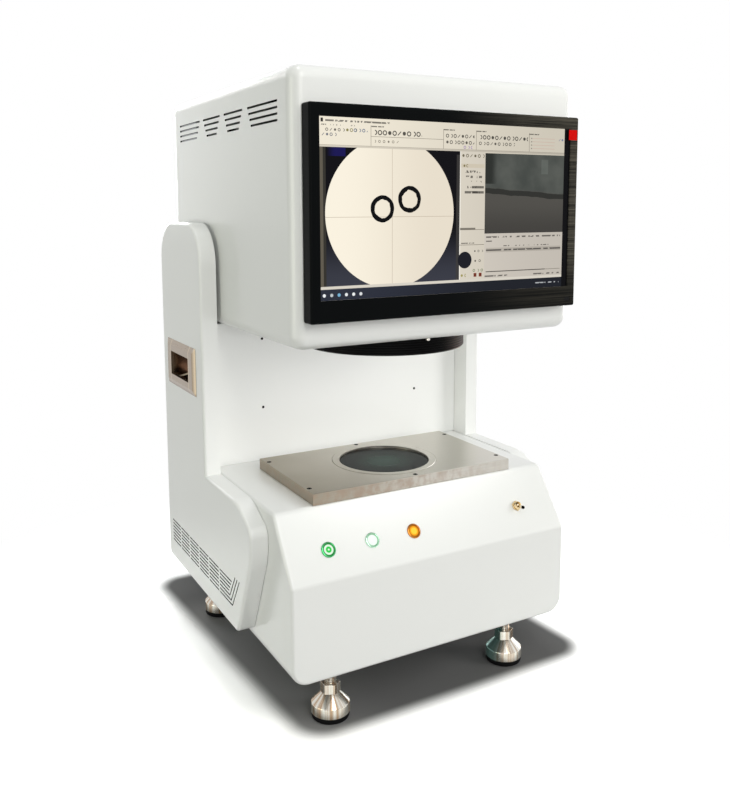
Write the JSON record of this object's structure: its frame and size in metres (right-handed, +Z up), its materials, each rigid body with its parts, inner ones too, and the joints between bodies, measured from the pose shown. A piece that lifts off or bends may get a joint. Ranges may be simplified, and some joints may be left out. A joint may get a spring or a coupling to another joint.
{
  "type": "vision measuring machine",
  "caption": "Bench vision measuring machine: screen and telecentric lens in a white head over a backlit glass stage, on levelling feet.",
  "frame": {"origin": "on the floor under the middle of the machine", "axes": "+X to the machine's right seen from the front, +Y to its back, +Z up"},
  "size_m": [0.63, 0.618, 1.067],
  "materials": {
    "white_paint": "gloss white powder coat",
    "brushed_steel": "brushed along the width",
    "satin_nickel": "satin plated",
    "chrome": "polished plate",
    "black_rubber": "matt rubber",
    "black_anodised": "satin black anodised",
    "black_plastic": "brushed-look gloss plastic",
    "screen_glass": "screen panel",
    "stage_glass": "polished plate glass",
    "lens_glass": "coated lens glass",
    "grey_paint": "fine-texture grey paint",
    "cast_aluminium": "machined casting",
    "green_lens": "lit translucent cap",
    "clear_lens": "lit translucent cap",
    "amber_lens": "lit translucent cap"
  },
  "bodies": {
    "machine": {"backlight_tube": "black_anodised", "base_frame": "grey_paint", "base_housing": "white_paint", "camera": "black_anodised", "column_frame": "cast_aluminium", "computer_unit": "cast_aluminium", "condenser_lens": "lens_glass", "head_housing": "white_paint", "head_rear_cover": "white_paint", "lamp_button_body": "chrome", "lamp_module": "cast_aluminium", "left_handle": "satin_nickel", "left_side_casing": "white_paint", "lens_barrel": "black_anodised", "lens_bracket": "cast_aluminium", "lens_glass": "lens_glass", "lens_lock_screw": "chrome", "lens_ring": "black_anodised", "mains_inlet": "black_plastic", "monitor_back": "black_plastic", "monitor_bracket": "grey_paint", "monitor_frame": "black_plastic", "monitor_indicator": "screen_glass", "power_button_body": "chrome", "power_supply": "cast_aluminium", "rear_cover": "white_paint", "right_handle": "satin_nickel", "right_side_casing": "white_paint", "screen": "screen_glass", "stage_glass": "stage_glass", "stage_plate": "brushed_steel", "stage_ring": "brushed_steel", "stage_screw_1": "black_anodised", "stage_screw_2": "black_anodised", "stage_screw_3": "black_anodised", "stage_screw_4": "black_anodised", "stage_screw_5": "black_anodised", "stage_screw_6": "black_anodised", "stage_support": "grey_paint", "start_button_body": "chrome", "switch_body": "chrome", "throat_panel": "white_paint"},
    "power_button": {"power_button_cap": "green_lens"},
    "start_button": {"start_button_cap": "clear_lens"},
    "lamp_button": {"lamp_button_cap": "amber_lens"},
    "toggle_lever": {"switch_lever": "chrome"},
    "foot_front_left": {"foot_base_front_left": "satin_nickel", "foot_pad_front_left": "black_rubber"},
    "stud_front_left": {"foot_stud_front_left": "chrome"},
    "foot_front_right": {"foot_base_front_right": "satin_nickel", "foot_pad_front_right": "black_rubber"},
    "stud_front_right": {"foot_stud_front_right": "chrome"},
    "foot_rear_left": {"foot_base_rear_left": "satin_nickel", "foot_pad_rear_left": "black_rubber"},
    "stud_rear_left": {"foot_stud_rear_left": "chrome"},
    "foot_rear_right": {"foot_base_rear_right": "satin_nickel", "foot_pad_rear_right": "black_rubber"},
    "stud_rear_right": {"foot_stud_rear_right": "chrome"}
  },
  "joints": [
    {"name": "power_button_press", "type": "slide", "parent": "machine", "child": "power_button", "axis": [0, 0.8219, -0.5696], "range_m": [0, 0.002], "stiffness_N_per_m": 800, "springref_m": -0.0015},
    {"name": "start_button_press", "type": "slide", "parent": "machine", "child": "start_button", "axis": [0, 0.8219, -0.5696], "range_m": [0, 0.002], "stiffness_N_per_m": 800, "springref_m": -0.0015},
    {"name": "lamp_button_press", "type": "slide", "parent": "machine", "child": "lamp_button", "axis": [0, 0.8219, -0.5696], "range_m": [0, 0.002], "stiffness_N_per_m": 800, "springref_m": -0.0015},
    {"name": "toggle_flip", "type": "hinge", "parent": "machine", "child": "toggle_lever", "pos_m": [0.1902, -0.24541, 0.31114], "axis": [-1, 0, 0], "range_deg": [0, 64]},
    {"name": "foot_front_left_height", "type": "slide", "parent": "machine", "child": "foot_front_left", "axis": [0, 0, 1], "range_m": [-0.018, 0.008]},
    {"name": "stud_front_left_turn", "type": "hinge", "parent": "foot_front_left", "child": "stud_front_left", "pos_m": [-0.185, -0.218, 0.05], "axis": [0, 0, 1], "range_deg": [-2595, 1155]},
    {"name": "foot_front_right_height", "type": "slide", "parent": "machine", "child": "foot_front_right", "axis": [0, 0, 1], "range_m": [-0.018, 0.008]},
    {"name": "stud_front_right_turn", "type": "hinge", "parent": "foot_front_right", "child": "stud_front_right", "pos_m": [0.185, -0.218, 0.05], "axis": [0, 0, 1], "range_deg": [-2595, 1155]},
    {"name": "foot_rear_left_height", "type": "slide", "parent": "machine", "child": "foot_rear_left", "axis": [0, 0, 1], "range_m": [-0.018, 0.008]},
    {"name": "stud_rear_left_turn", "type": "hinge", "parent": "foot_rear_left", "child": "stud_rear_left", "pos_m": [-0.219, 0.233, 0.05], "axis": [0, 0, 1], "range_deg": [-2595, 1155]},
    {"name": "foot_rear_right_height", "type": "slide", "parent": "machine", "child": "foot_rear_right", "axis": [0, 0, 1], "range_m": [-0.018, 0.008]},
    {"name": "stud_rear_right_turn", "type": "hinge", "parent": "foot_rear_right", "child": "stud_rear_right", "pos_m": [0.219, 0.233, 0.05], "axis": [0, 0, 1], "range_deg": [-2595, 1155]}
  ],
  "couplings": [
    {"joint": "stud_front_left_turn", "follows": "foot_front_left_height", "rad_per_m": 2513.3},
    {"joint": "stud_front_right_turn", "follows": "foot_front_right_height", "rad_per_m": 2513.3},
    {"joint": "stud_rear_left_turn", "follows": "foot_rear_left_height", "rad_per_m": 2513.3},
    {"joint": "stud_rear_right_turn", "follows": "foot_rear_right_height", "rad_per_m": 2513.3}
  ]
}
